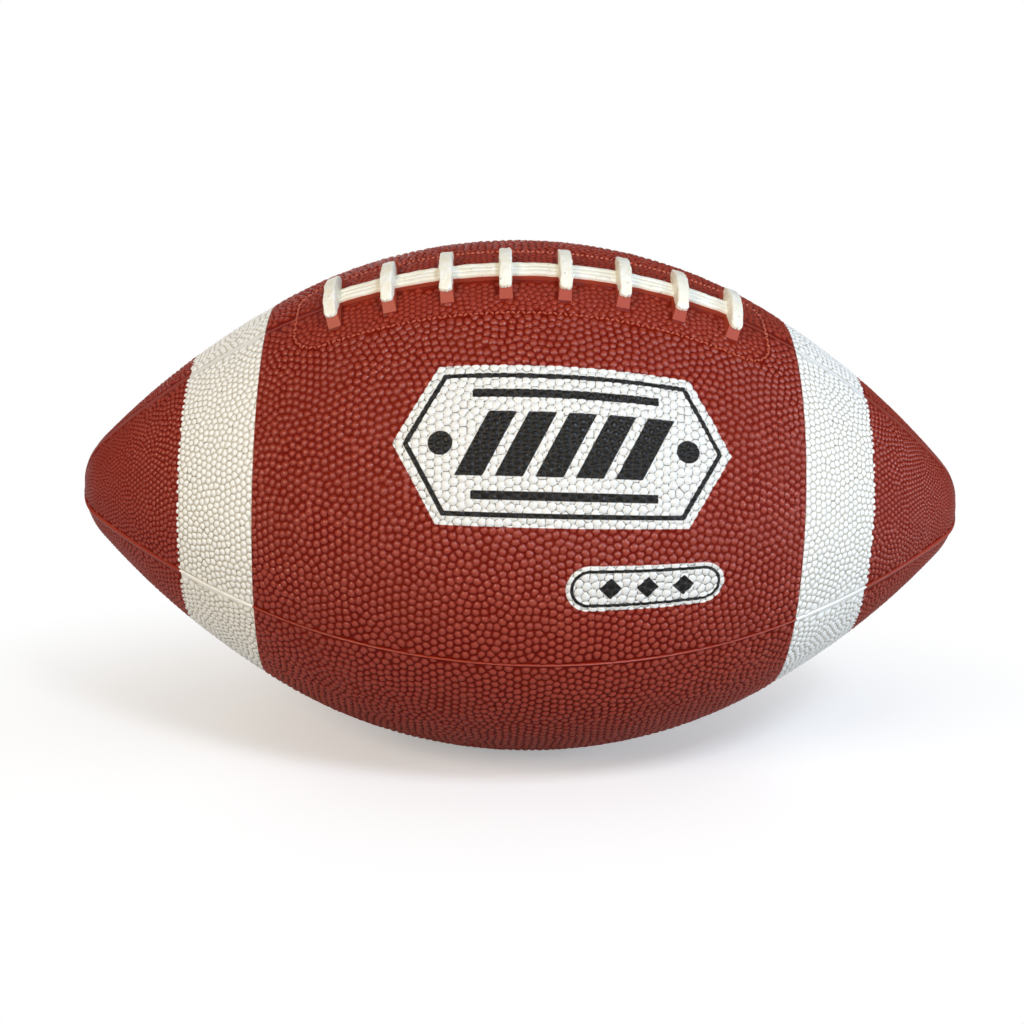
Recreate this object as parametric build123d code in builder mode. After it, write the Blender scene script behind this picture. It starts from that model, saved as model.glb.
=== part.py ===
"""A moulded rubber American football, lying on its side with its laces leaning to the front.

X runs along the ball, Y from front to back and Z up. The origin is the point of the floor under
the middle of the ball. Lengths are in millimetres and angles in degrees.

From the outside in: four cover panels that meet along four seams, a wound carcass, and a bladder
with its valve. The lacing stands on the seam between the front and top panels: a bed of cover
rubber, one long lace of three strands, and the cross laces that straddle it.
"""

import math
import os

from build123d import *

# Ball: its meridian is a belly arc, two flank arcs and two nose arcs, each tangent to the next.
LENGTH = 286.0
GIRTH_DIAMETER = 166.0
NOSE_RADIUS = 24.5
BELLY_ANGLE = 29.9  # the meridian has turned this far where the belly becomes the flank
FLANK_ANGLE = 45.6  # and this far where the flank becomes the nose
LACE_LEAN = 22.5  # from upright, towards the front

# Layers of the wall, and the film of glue between them
COVER_WALL = 1.8
WINDING_WALL = 0.5
BLADDER_WALL = 0.8
GLUE_FILM = 0.05

# The carcass is wound in flat bands of thread, so it and the bladder under it are many-sided.
CARCASS_SIDES = 24
CARCASS_STATIONS = 14
PANEL_NAMES = ("front_panel", "bottom_panel", "back_panel", "top_panel")
VALVE_PANEL = "back_panel"

# Valve: a boot with a flange inside the bladder, and a soft plug that a needle pushes through
NECK_RADIUS = 4.0
NECK_RECESS = 0.5
FLANGE_RADIUS = 7.0
FLANGE_WALL = 1.5
BOOT_RADIUS = 5.0
BOOT_LENGTH = 13.0
BOOT_FLOOR = 1.5
PLUG_RADIUS = 2.6
PLUG_RECESS = 0.6
NEEDLE_BORE_RADIUS = 1.05
BOOT_HOLE_RADIUS = 1.4
VALVE_CLEARANCE = 0.05

# Lacing: heights are above the cover, and the pitch is measured along the seam.
LACE_COUNT = 8
LACE_PITCH = 17.5
CROSS_LACE_LENGTH = 21.5
CROSS_LACE_WIDTH = 3.6
CROSS_LACE_WALL = 0.9
CROSS_LACE_EDGE = 0.45
LACE_HEIGHT = 5.6  # in the middle of a cross lace
LACE_END_HEIGHT = 3.4
RISER_FOOT_LENGTH = 29.1  # of the block before its foot is trimmed to the cover
RISER_FOOT_WIDTH = 4.3
LEDGE_HEIGHT = 1.2
LEDGE_LIP = 0.3
LONG_LACE_WIDTH = 6.3
LONG_LACE_WALL = 0.8
STRAND_COUNT = 3
STRAND_RISE = 0.3

OVERRUN = 2.0  # how far a cutting or trimming shape runs past what it trims

# Meridian: the belly and flank radii follow from the length, the girth and the two angles.
girth_radius = GIRTH_DIAMETER / 2
belly = math.radians(BELLY_ANGLE)
flank = math.radians(FLANK_ANGLE)
arc_reach = LENGTH / 2 - NOSE_RADIUS * (1 - math.sin(flank))
arc_drop = girth_radius - NOSE_RADIUS * math.cos(flank)
flank_reach_share = math.sin(flank) - math.sin(belly)
flank_drop_share = math.cos(belly) - math.cos(flank)
belly_drop_share = 1 - math.cos(belly)
spread = math.sin(belly) * flank_drop_share - belly_drop_share * flank_reach_share
belly_radius = (arc_reach * flank_drop_share - arc_drop * flank_reach_share) / spread
flank_radius = (arc_drop * math.sin(belly) - arc_reach * belly_drop_share) / spread
belly_centre = Vector(0, girth_radius - belly_radius)
flank_centre = belly_centre + Vector(math.sin(belly), math.cos(belly)) * (belly_radius - flank_radius)
nose_centre = Vector(LENGTH / 2 - NOSE_RADIUS, 0)

# Ball frame: Z points out through the middle of the lacing, and Y to the back.
lean = math.radians(LACE_LEAN)
BALL = Plane(
    origin=(0, 0, girth_radius),
    x_dir=(1, 0, 0),
    z_dir=(0, -math.sin(lean), math.cos(lean)),
)
BALL_AXIS = Axis(BALL.origin, BALL.x_dir)


def meridian(angle, inset=0):
    """The point (along the ball, from its axis) where the meridian has turned by angle."""
    turn = math.radians(abs(angle))
    centre, radius = nose_centre, NOSE_RADIUS
    if turn <= belly:
        centre, radius = belly_centre, belly_radius
    elif turn <= flank:
        centre, radius = flank_centre, flank_radius
    along = centre.X + (radius - inset) * math.sin(turn)
    return math.copysign(along, angle), centre.Y + (radius - inset) * math.cos(turn)


def meridian_angle(run):
    """How far the meridian has turned at a distance along it from the middle of the ball."""
    belly_run = belly_radius * belly
    if abs(run) <= belly_run:
        return math.degrees(run / belly_radius)
    turn = belly + (abs(run) - belly_run) / flank_radius
    return math.degrees(math.copysign(turn, run))


def meridian_arcs(end):
    """Draws the meridian from -end to end, an arc for each part of it."""
    joints = [a for a in (-FLANK_ANGLE, -BELLY_ANGLE, BELLY_ANGLE, FLANK_ANGLE) if abs(a) < end]
    stops = [-end, *joints, end]
    for start, stop in zip(stops, stops[1:]):
        ThreePointArc(meridian(start), meridian((start + stop) / 2), meridian(stop))


def seam_plane(quarter):
    """A plane through the ball's axis and a seam: its X along the ball, its Y out to the seam."""
    turn = math.radians(quarter * 360 / len(PANEL_NAMES))
    out = BALL.z_dir * math.cos(turn) - BALL.y_dir * math.sin(turn)
    return Plane(origin=BALL.origin, x_dir=BALL.x_dir, z_dir=BALL.x_dir.cross(out))


def ball_wedge(quarter, arc):
    """The solid ball from one seam on, round its axis by arc."""
    with BuildPart() as wedge:
        with BuildSketch(seam_plane(quarter)):
            with BuildLine():
                meridian_arcs(90)
                Line(meridian(-90), meridian(90))
            make_face()
        revolve(axis=BALL_AXIS, revolution_arc=arc)
    return wedge.part


def carcass_core(inset):
    """The many-sided solid whose corners lie inset under the cover's face."""
    step = 180 / CARCASS_STATIONS
    with BuildPart() as core:
        for station in range(CARCASS_STATIONS):
            along, radius = meridian((station + 0.5) * step - 90, inset)
            section = Plane(
                origin=BALL.from_local_coords((along, 0, 0)), x_dir=BALL.z_dir, z_dir=BALL.x_dir
            )
            with BuildSketch(section):
                RegularPolygon(radius, CARCASS_SIDES, rotation=180 / CARCASS_SIDES)
        loft(ruled=True)
    return core.part


def carcass_flat(inset):
    """How far the flats round the middle of such a solid lie from the ball's axis."""
    return meridian(90 / CARCASS_STATIONS, inset)[1] * math.cos(math.pi / CARCASS_SIDES)


# Depths of the layers' faces under the cover's face
winding_inset = COVER_WALL + GLUE_FILM
winding_inner = winding_inset + WINDING_WALL
bladder_inset = winding_inner + GLUE_FILM
bladder_inner = bladder_inset + BLADDER_WALL

# Valve axis: through the middle of its panel. Levels are distances from the ball's axis.
valve_quarter = PANEL_NAMES.index(VALVE_PANEL) + 0.5
VALVE = seam_plane(valve_quarter)
VALVE_AXIS = Axis(BALL.origin, VALVE.y_dir)
neck_level = girth_radius - NECK_RECESS
plug_level = neck_level - PLUG_RECESS
flange_level = carcass_flat(bladder_inner)
boot_level = flange_level - BOOT_LENGTH
plug_seat_level = boot_level + BOOT_FLOOR


def valve_cylinder(radius, low, high):
    """A cylinder on the valve's axis, between two levels."""
    with BuildPart() as cylinder:
        with BuildSketch(VALVE):
            with Locations((radius / 2, (low + high) / 2)):
                Rectangle(radius, high - low)
        revolve(axis=VALVE_AXIS)
    return cylinder.part


neck_hole = valve_cylinder(NECK_RADIUS + VALVE_CLEARANCE, flange_level, girth_radius + OVERRUN)
flange_seat = valve_cylinder(FLANGE_RADIUS + VALVE_CLEARANCE, boot_level, flange_level)

# Cover panels: quarters of the ball's wall, hollowed by the carcass
panels = {}
cover_hollow = carcass_core(COVER_WALL)
for quarter, name in enumerate(PANEL_NAMES):
    wedge = ball_wedge(quarter, 360 / len(PANEL_NAMES))
    with BuildPart() as panel:
        add(wedge)
        add(cover_hollow, mode=Mode.SUBTRACT)
        if name == VALVE_PANEL:
            add(neck_hole, mode=Mode.SUBTRACT)
    panels[name] = panel.part

# Wound carcass
winding_solid = carcass_core(winding_inset)
winding_hollow = carcass_core(winding_inner)
with BuildPart() as winding:
    add(winding_solid)
    add(winding_hollow, mode=Mode.SUBTRACT)
    add(neck_hole, mode=Mode.SUBTRACT)

# Bladder
bladder_solid = carcass_core(bladder_inset)
bladder_hollow = carcass_core(bladder_inner)
with BuildPart() as bladder:
    add(bladder_solid)
    add(bladder_hollow, mode=Mode.SUBTRACT)
    add(neck_hole, mode=Mode.SUBTRACT)
    add(flange_seat, mode=Mode.SUBTRACT)

# Valve boot: neck, flange and body turned in one, with a seat for the plug and a needle hole
with BuildPart() as valve_boot:
    with BuildSketch(VALVE):
        with BuildLine():
            Polyline(
                (BOOT_HOLE_RADIUS, boot_level),
                (BOOT_RADIUS, boot_level),
                (BOOT_RADIUS, flange_level - FLANGE_WALL),
                (FLANGE_RADIUS, flange_level - FLANGE_WALL),
                (FLANGE_RADIUS, flange_level),
                (NECK_RADIUS, flange_level),
                (NECK_RADIUS, neck_level),
                (PLUG_RADIUS + VALVE_CLEARANCE, neck_level),
                (PLUG_RADIUS + VALVE_CLEARANCE, plug_seat_level),
                (BOOT_HOLE_RADIUS, plug_seat_level),
                close=True,
            )
        make_face()
    revolve(axis=VALVE_AXIS)

# Valve plug: a soft sleeve round the needle's way in
with BuildPart() as valve_plug:
    with BuildSketch(VALVE):
        with Locations(((NEEDLE_BORE_RADIUS + PLUG_RADIUS) / 2, (plug_seat_level + plug_level) / 2)):
            Rectangle(PLUG_RADIUS - NEEDLE_BORE_RADIUS, plug_level - plug_seat_level)
    revolve(axis=VALVE_AXIS)

# Lacing: where the cross laces stand along the seam, and how far the long lace and ledge run
lace_runs = [(i - (LACE_COUNT - 1) / 2) * LACE_PITCH for i in range(LACE_COUNT)]
long_lace_end = meridian_angle(lace_runs[-1] + CROSS_LACE_WIDTH / 4)
ledge_end = meridian_angle(lace_runs[-1] + CROSS_LACE_WIDTH / 2)
ledge_width = LONG_LACE_WIDTH + 2 * LEDGE_LIP
riser_height = LACE_END_HEIGHT - CROSS_LACE_WALL


def across_seam(angle):
    """A plane across the laced seam on the cover: its X round the girth, its Y straight out."""
    along, radius = meridian(angle)
    turn = math.radians(angle)
    return Plane(
        origin=BALL.from_local_coords((along, 0, radius)),
        x_dir=BALL.y_dir,
        z_dir=BALL.x_dir * math.cos(turn) - BALL.z_dir * math.sin(turn),
    )


def along_seam(angle):
    """The plane at the same place along the seam: its X along the seam, its Y straight out."""
    across = across_seam(angle)
    return Plane(origin=across.origin, x_dir=across.z_dir, z_dir=-across.x_dir)


def crown(angle, height, side):
    """How far out a band round the girth lies, at a height over the cover and a distance to the side."""
    turn = math.radians(angle)
    girth_bend = meridian(angle)[1] / math.cos(turn)
    return math.sqrt((girth_bend + height) ** 2 - side**2) - girth_bend


def seam_line(end):
    """The line of the laced seam, from -end to end."""
    with BuildLine(seam_plane(0)) as line:
        meridian_arcs(end)
    return line.line


def lace_underside(angle):
    """The line between a cross lace and its riser, from its end in to the ledge, on both sides."""
    end = CROSS_LACE_LENGTH / 2
    seat = ledge_width / 2
    end_level = crown(angle, riser_height, end)
    return (end, end_level), (seat, LEDGE_HEIGHT), (-seat, LEDGE_HEIGHT), (-end, end_level)


def make_riser(angle):
    """The block of cover rubber under a cross lace: tapered up from its foot, and cut off to the lace."""
    foot = RISER_FOOT_LENGTH / 2
    foot_level = crown(angle, 0, foot) - OVERRUN
    with BuildPart() as riser:
        with BuildSketch(across_seam(angle)):
            with BuildLine():
                Polyline((foot, foot_level), *lace_underside(angle), (-foot, foot_level), close=True)
            make_face()
        extrude(amount=RISER_FOOT_WIDTH, both=True)
        with BuildSketch(along_seam(angle)):
            with BuildLine():
                Polyline(
                    (RISER_FOOT_WIDTH / 2, foot_level),
                    (CROSS_LACE_WIDTH / 2, riser_height),
                    (-CROSS_LACE_WIDTH / 2, riser_height),
                    (-RISER_FOOT_WIDTH / 2, foot_level),
                    close=True,
                )
            make_face()
        extrude(amount=RISER_FOOT_LENGTH, both=True, mode=Mode.INTERSECT)
    return riser.part


# Long lace: strands side by side, carried along the seam
seam_of_long_lace = seam_line(long_lace_end)
strand_width = LONG_LACE_WIDTH / STRAND_COUNT
with BuildPart() as long_lace:
    with BuildSketch(across_seam(-long_lace_end)):
        with BuildLine():
            base_level = LEDGE_HEIGHT + GLUE_FILM
            groove_level = base_level + LONG_LACE_WALL
            for strand in range(STRAND_COUNT):
                left = strand * strand_width - LONG_LACE_WIDTH / 2
                ThreePointArc(
                    (left, groove_level),
                    (left + strand_width / 2, groove_level + STRAND_RISE),
                    (left + strand_width, groove_level),
                )
            Polyline(
                (LONG_LACE_WIDTH / 2, groove_level),
                (LONG_LACE_WIDTH / 2, base_level),
                (-LONG_LACE_WIDTH / 2, base_level),
                (-LONG_LACE_WIDTH / 2, groove_level),
            )
        make_face()
    sweep(path=seam_of_long_lace)

# Cross laces: arched over the long lace and notched to it, with rounded ends
cross_laces = {}
for number, run in enumerate(lace_runs, start=1):
    angle = meridian_angle(run)
    lace_end = CROSS_LACE_LENGTH / 2
    end_level = crown(angle, LACE_END_HEIGHT, lace_end)
    underside = lace_underside(angle)
    with BuildPart() as cross_lace:
        with BuildSketch(across_seam(angle)):
            with BuildLine():
                ThreePointArc((-lace_end, end_level), (0, LACE_HEIGHT), (lace_end, end_level))
                Polyline((lace_end, end_level), *underside, (-lace_end, end_level))
            make_face()
        extrude(amount=CROSS_LACE_WIDTH, both=True)
        across = across_seam(angle)
        with BuildSketch(Plane(origin=across.origin, x_dir=across.x_dir, z_dir=across.y_dir)):
            SlotOverall(CROSS_LACE_LENGTH, CROSS_LACE_WIDTH)
        extrude(amount=LACE_HEIGHT + OVERRUN, mode=Mode.INTERSECT)
        crest = cross_lace.faces().sort_by(Axis(across.origin, across.y_dir))[-1]
        fillet(crest.edges(), CROSS_LACE_EDGE)
        add(long_lace.part, mode=Mode.SUBTRACT)
    cross_laces[f"cross_lace_{number}"] = cross_lace.part

# Lace bed: the ledge under the long lace and the risers under the cross laces, seated on the cover
risers = [make_riser(meridian_angle(run)) for run in lace_runs]
seam_of_ledge = seam_line(ledge_end)
whole_ball = ball_wedge(len(PANEL_NAMES) / 2, 360)
with BuildPart() as lace_bed:
    with BuildSketch(across_seam(-ledge_end)):
        with Locations((0, (LEDGE_HEIGHT - OVERRUN) / 2)):
            Rectangle(ledge_width, LEDGE_HEIGHT + OVERRUN)
    sweep(path=seam_of_ledge)
    add(risers)
    add(whole_ball, mode=Mode.SUBTRACT)

pieces = {
    **panels,
    "winding": winding.part,
    "bladder": bladder.part,
    "valve_boot": valve_boot.part,
    "valve_plug": valve_plug.part,
    "lace_bed": lace_bed.part,
    "long_lace": long_lace.part,
    **cross_laces,
}
os.makedirs("parts", exist_ok=True)
for name, piece in pieces.items():
    piece.label = name
    export_step(piece, f"parts/{name}.step")
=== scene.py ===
"""A moulded rubber football on a white floor, in soft studio light.

Lengths are in millimetres until a mesh is made, and in metres from then on. A place on the cover is
given by its run, the distance along the meridian from the middle of the ball, and by its angle round
the ball, from the laced seam towards the front. A height is over the ball's smooth shape, and x is the
distance from the middle of the ball along its axis.
"""

import math

import bpy
import numpy as np
from mathutils import Matrix, Vector


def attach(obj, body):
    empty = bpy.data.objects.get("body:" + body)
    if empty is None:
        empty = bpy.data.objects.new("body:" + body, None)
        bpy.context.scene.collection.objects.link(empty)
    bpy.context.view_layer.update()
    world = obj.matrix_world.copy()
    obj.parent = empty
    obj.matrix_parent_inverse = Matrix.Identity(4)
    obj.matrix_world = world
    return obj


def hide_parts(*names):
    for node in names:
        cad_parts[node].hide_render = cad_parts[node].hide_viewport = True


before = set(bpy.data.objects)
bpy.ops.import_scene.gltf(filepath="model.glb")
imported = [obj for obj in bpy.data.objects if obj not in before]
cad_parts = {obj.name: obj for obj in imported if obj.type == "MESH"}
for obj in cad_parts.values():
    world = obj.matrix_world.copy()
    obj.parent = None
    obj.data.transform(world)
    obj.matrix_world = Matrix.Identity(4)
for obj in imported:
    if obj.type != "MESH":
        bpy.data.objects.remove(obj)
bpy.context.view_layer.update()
rng = np.random.default_rng(7)
MM_PER_M = 1000
QUARTER = math.pi / 2
TURN = 2 * math.pi

# Ball: its meridian is a belly arc, two flank arcs and two nose arcs, as in the solids
LENGTH = 286.0
GIRTH_R = 83.0
NOSE_R = 24.5
BELLY_TURN = math.radians(29.9)
FLANK_TURN = math.radians(45.6)
LEAN = math.radians(22.5)
PANELS = ("front_panel", "bottom_panel", "back_panel", "top_panel")
VALVE_ANGLE = math.radians(225)

# The radii of belly and flank follow from the length, the girth and the two turns
arc_reach = LENGTH / 2 - NOSE_R * (1 - math.sin(FLANK_TURN))
arc_drop = GIRTH_R - NOSE_R * math.cos(FLANK_TURN)
flank_reach_share = math.sin(FLANK_TURN) - math.sin(BELLY_TURN)
flank_drop_share = math.cos(BELLY_TURN) - math.cos(FLANK_TURN)
belly_drop_share = 1 - math.cos(BELLY_TURN)
arc_spread = math.sin(BELLY_TURN) * flank_drop_share - belly_drop_share * flank_reach_share
BELLY_R = (arc_reach * flank_drop_share - arc_drop * flank_reach_share) / arc_spread
FLANK_R = (arc_drop * math.sin(BELLY_TURN) - arc_reach * belly_drop_share) / arc_spread
BELLY_RUN = BELLY_R * BELLY_TURN
FLANK_RUN = BELLY_RUN + FLANK_R * (FLANK_TURN - BELLY_TURN)
HALF_RUN = FLANK_RUN + NOSE_R * (QUARTER - FLANK_TURN)

# Lacing: half sizes are along the seam, then across it
LACE_COUNT = 8
LACE_PITCH = 17.5
LACE_RUNS = (np.arange(LACE_COUNT) - (LACE_COUNT - 1) / 2) * LACE_PITCH
RISER_HALF = (1.95, 12.85)
RISER_TOP = 2.5
LEDGE_HALF = (63.0, 3.45)
LEDGE_TOP = 1.2
CROSS_HALF = (1.8, 10.75)
CROSS_TOP = (5.6, 3.4)  # in the middle and at the ends
CROSS_CORNER = 1.1
SHOULDER = 0.45
LONG_HALF = (62.2, 3.15)
LONG_TOP = 2.0
STRAND_COUNT = 3
STRAND_RISE = 0.42
LACE_SINK = 0.05  # how far a cross lace's foot sinks into its bed
WALL_STEPS = (0.0, 0.35, 0.7)  # shares of a side wall's height
SHOULDER_POINTS = 6
CROSS_GRID = (70, 11)
LONG_GRID = (420, 43)

# Wear of the laces: each is how far it goes, then the size of its ripples
CROSS_DENTS = (0.16, 4.2, 2.3)
CROSS_SWELL = (0.08, 6.0)  # a share of the width
CROSS_WANDER = (0.16, 11.0)
CROSS_FRAY = (0.35, 3.0)
FRAY_POWER = 6  # of the distance from the lace's middle
CROSS_TWIST = (0.05, 6.0)  # of the sides, and how fast it turns, in radians per millimetre
LONG_DENTS = (0.08, 7.0)
LONG_SWELL = (0.04, 8.0)  # a share of the width
LONG_WANDER = (0.12, 15.0)
RIPPLE_LENGTHS = (0.62, 1.0, 1.7)  # shares of a ripple's size

# Moulded stitches round the lacing: half length, half width and height of one
LOOP_HALF = (75.0, 18.5)
LOOP_CORNER = 11.0
STITCH_PITCH = 1.55
STITCH_SIZE = (0.78, 0.3, 0.6)
STITCH_FOOT = 0.05
STITCH_TURN = 0.6
STITCH_SCATTER = 0.22
STITCH_GRID = (9, 7)

# Seams, from the laced one on: half widths of the bare lanes, and (half width, top) of the flash lines
SEAMS = ("laced", "front", "lower", "back")
LANES = (1.5, 0.55, 0.8, 0.55)
RIDGES = ((1.1, 0.14), (0.3, 0.7), (0.3, 0.6), (0.3, 0.6))
RIDGE_END = 1.5  # from the tips
RIDGE_FADE = (1.0, 16.0)  # from the tips
RIDGE_LEAST_R = 0.8  # least distance from the axis for turning a width into an angle
RIDGE_GRID = (500, 7)
LANE_WIDER = 1.2  # on the side past each plain seam
LANE_WIDENS = (76, 90)  # in x
LANE_LEVEL = 0.12
LANE_RISE = 0.3
LANE_RISES = (100, 135)  # in x
LANE_REDDENS = (85, 110)  # in x
LANE_RED = 0.55  # the rise whose red a lane takes
LANE_EDGE = 0.2
LANE_GROOVE = 0.3  # how far from a groove the paint takes a lane to be
STITCH_LANE = 0.6
VALVE_LANE = 6.0
FOOT_MARGIN = 0.15

# Paint
BAND = (82.0, 106.3)  # in x
PAINT_CREEP = 0.4  # how much further a band reaches on a pebble's top than in the valley
FLAT_SOFT = 0.3  # half of the way from round pebbles to flat ones at an edge of paint
# The rise fact carries the share of painted shade in the valleys and painted sheen on the pebbles' tops
FACTS = ("rise", "border", "paint", "patch", "ink")

# Printed patches on the front panel: a long hexagon with bars, rules and dots, and a pill with diamonds
HEXAGON_AT = (9.0, math.radians(43.0))
HEXAGON_HALF = (50.0, 24.0)
HEXAGON_SLOPE = 0.55
HEXAGON_LINE = (3.4, 0.75)  # distance from the edge, and half width
BAR_COUNT = 5
BAR_PITCH = 11.5
BAR_HALF = (3.6, 9.5)
BAR_SLANT = 0.5
RULE_AT = 15.0
RULE_HALF = (27.0, 1.3)
DOT_AT = 36.0
DOT_R = 3.6
PILL_AT = (34.0, math.radians(72.0))
PILL_HALF = (17.0, 7.0)  # half length of its straight part, and its radius
PILL_LINE = (1.7, 0.5)
DIAMOND_GAP = 5.5  # half of the way from one diamond to the next
DIAMOND_R = 3.4

# Pebbles: their pitch, and what it loses on the bands and towards the tips, between two places in x
PITCH = 2.62
BAND_FINER = (0.42, 79, 83)
TIP_FINER = (0.95, 100, 138)
LACED_PITCH = 1.9
SOW_SCATTER = 0.28  # a share of the pitch
SOW_ROW = 0.866  # from row to row, a share of the pitch
SOW_MARGINS = (0.25, 0.3)  # from bare places, before and after pushing
PUSH_ROUNDS = 18
PUSH_REACH = 1.18  # a share of the pitch
PUSH_SHARE = 0.35
PUSH_LEAST_R = 2.0  # least distance from the axis for turning a push into an angle
SOW_END = 1.0  # from the tips to the first row
PEBBLE_END = 0.5  # from the tips to the nearest pebble
PEBBLE_UNEVEN = 0.05  # a share of its size
PEBBLE_SIZES = (0.84, 1.12)
PEBBLE_STRETCH = (1.0, 1.22)
CELL = 2.7  # of the table for finding neighbours
SLOTS = 9  # in a cell
TINY = 1e-9  # keeps a division from being by nothing
FAR = 1e6  # stands for a place that isn't there

# Grain: heights of the cover and its pebbles, and the shares and powers that shape a pebble
VALLEY = -0.7
DOME = 0.72
DOME_REACH = 0.88
DOME_POWERS = (2.2, 0.7)
DOME_ROUND = 1.08
TILE_EDGE = 0.45
TILE_RISE = (0.2, 0.7)  # of the dome and of the flat top where a pebble is printed on
BAND_FLAT = 0.35
TIP_LOWER = (0.45, 118, 141)
LACED_LOWER = 0.88
LACED_RISE = 0.2
FOOT_LEVEL = -0.03
FOOT_BLEND = (0.5, 0.05)
LANE_BLEND = (0.5, -0.3)
PORT_R = 4.1
PORT_LEVEL = -2.0
PORT_RIM = (0.45, 6.2, 5.4)

# Pieces of the cover: where they end along the meridian, and the steps of their grids
PIECE_ENDS = (0.0, 78.0, 118.0)
STEPS = ((0.43, 0.41, 0.34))
TIP_GAP = 0.001  # a hair, so that each row of points has a direction
BATCH = 25000


def meridian(run):
    """(x, distance from the axis, turn) at a run: three arcs, each x = cx + R sin t, r = cy + R cos t."""
    size = np.abs(run)
    on_belly, on_flank = size < BELLY_RUN, size < FLANK_RUN
    flank_turn = BELLY_TURN + (size - BELLY_RUN) / FLANK_R
    nose_turn = FLANK_TURN + (size - FLANK_RUN) / NOSE_R
    turn = np.where(on_belly, size / BELLY_R, np.where(on_flank, flank_turn, nose_turn))
    bend = np.where(on_belly, BELLY_R, np.where(on_flank, FLANK_R, NOSE_R))
    flank_cx = (BELLY_R - FLANK_R) * math.sin(BELLY_TURN)
    flank_cy = GIRTH_R - BELLY_R + (BELLY_R - FLANK_R) * math.cos(BELLY_TURN)
    cx = np.where(on_belly, 0.0, np.where(on_flank, flank_cx, LENGTH / 2 - NOSE_R))
    cy = np.where(on_belly, GIRTH_R - BELLY_R, np.where(on_flank, flank_cy, 0.0))
    side = np.where(run < 0, -1.0, 1.0)
    return side * (cx + bend * np.sin(turn)), cy + bend * np.cos(turn), side * turn


def place(run, angle, height):
    """Points over the cover: (x + h sin t, -o sin a, R + o cos a), o = r + h cos t, a from straight up."""
    x, r, turn = meridian(run)
    out = r + height * np.cos(turn)
    tilt = angle + LEAN
    return np.stack([x + height * np.sin(turn), -out * np.sin(tilt), GIRTH_R + out * np.cos(tilt)], -1)


def box_distance(u, v, half, corner=0.0):
    """Distance outside a box with rounded corners, negative inside."""
    du = np.abs(u) - half[0] + corner
    dv = np.abs(v) - half[1] + corner
    return np.hypot(np.maximum(du, 0), np.maximum(dv, 0)) + np.minimum(np.maximum(du, dv), 0) - corner


def wrap(angle):
    """An angle from -pi to pi."""
    return (angle + math.pi) % TURN - math.pi


def smooth(low, high, value):
    """0 at low, 1 at high, and the smooth step t^2 (3 - 2t) between."""
    t = np.clip((value - low) / (high - low), 0, 1)
    return t * t * (3 - 2 * t)


def half_round(q):
    """A half circle over -1 to 1: sqrt(1 - q^2)."""
    return np.sqrt(np.maximum(0, 1 - q * q))


def loop_distance(run, angle):
    """Distance outside the stitched outline round the lacing, negative inside."""
    return box_distance(run, wrap(angle) * meridian(run)[1], LOOP_HALF, LOOP_CORNER)


def bare_distance(run, angle):
    """(distance to the lacing's foot, to any bare place): lanes along seams, lacing, stitches and valve."""
    x, r, _ = meridian(run)
    wider = LANE_WIDER * smooth(*LANE_WIDENS, np.abs(x))
    lanes = []
    for quarter, lane in enumerate(LANES):
        past = wrap(angle - quarter * QUARTER) * r
        lanes.append(np.abs(past) - lane - wider * (past > 0) * (quarter > 0))
    across = wrap(angle) * r
    foot = box_distance(run, across, LEDGE_HALF)
    for at in LACE_RUNS:
        foot = np.minimum(foot, box_distance(run - at, across, RISER_HALF))
    loop = np.abs(loop_distance(run, angle)) - STITCH_LANE
    valve = np.hypot(run, wrap(angle - VALVE_ANGLE) * r) - VALVE_LANE
    return foot, np.minimum.reduce([*lanes, foot - FOOT_MARGIN, loop, valve])


def pitch_at(run, inside):
    """Spacing of the pebbles: finer on the painted bands, towards the tips, and inside the stitches."""
    x = np.abs(meridian(run)[0])
    outer = PITCH
    for finer, low, high in (BAND_FINER, TIP_FINER):
        outer = outer - finer * smooth(low, high, x)
    return np.where(inside, LACED_PITCH, outer)


# Cells for finding neighbours: rows along the ball, each cut into columns at least a cell wide
ROW_COUNT = int(2 * HALF_RUN // CELL) + 1
row_ends = np.minimum(np.arange(ROW_COUNT + 1) * CELL - HALF_RUN, HALF_RUN)
row_radius = np.minimum(meridian(row_ends[:-1])[1], meridian(row_ends[1:])[1])
row_columns = np.maximum(3, (TURN * row_radius / CELL).astype(int))


def cell_of(run, angle):
    """Row and share of a turn of a place."""
    return np.clip(((run + HALF_RUN) / CELL).astype(int), 0, ROW_COUNT - 1), (angle / TURN) % 1.0


def cell_table(run, angle):
    """Table of the places in each cell, filled with -1."""
    row, share = cell_of(run, angle)
    wide = row_columns.max()
    key = row * wide + (share * row_columns[row]).astype(int)
    order = np.argsort(key, kind="stable")
    ranked = key[order]
    rank = np.arange(len(key)) - np.searchsorted(ranked, ranked)
    table = np.full((ROW_COUNT * wide, SLOTS), -1)
    fits = rank < SLOTS
    table[ranked[fits], rank[fits]] = order[fits]
    return table.reshape(ROW_COUNT, wide, SLOTS)


def neighbours(table, run, angle):
    """Indices of the places in the nine cells round each given place."""
    row, share = cell_of(run, angle)
    found = []
    for step in (-1, 0, 1):
        near = np.clip(row + step, 0, ROW_COUNT - 1)
        column = (share * row_columns[near]).astype(int)
        for shift in (-1, 0, 1):
            cell = table[near, (column + shift) % row_columns[near]]
            found.append(np.where((near == row + step)[:, None], cell, -1))
    return np.concatenate(found, 1)


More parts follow.
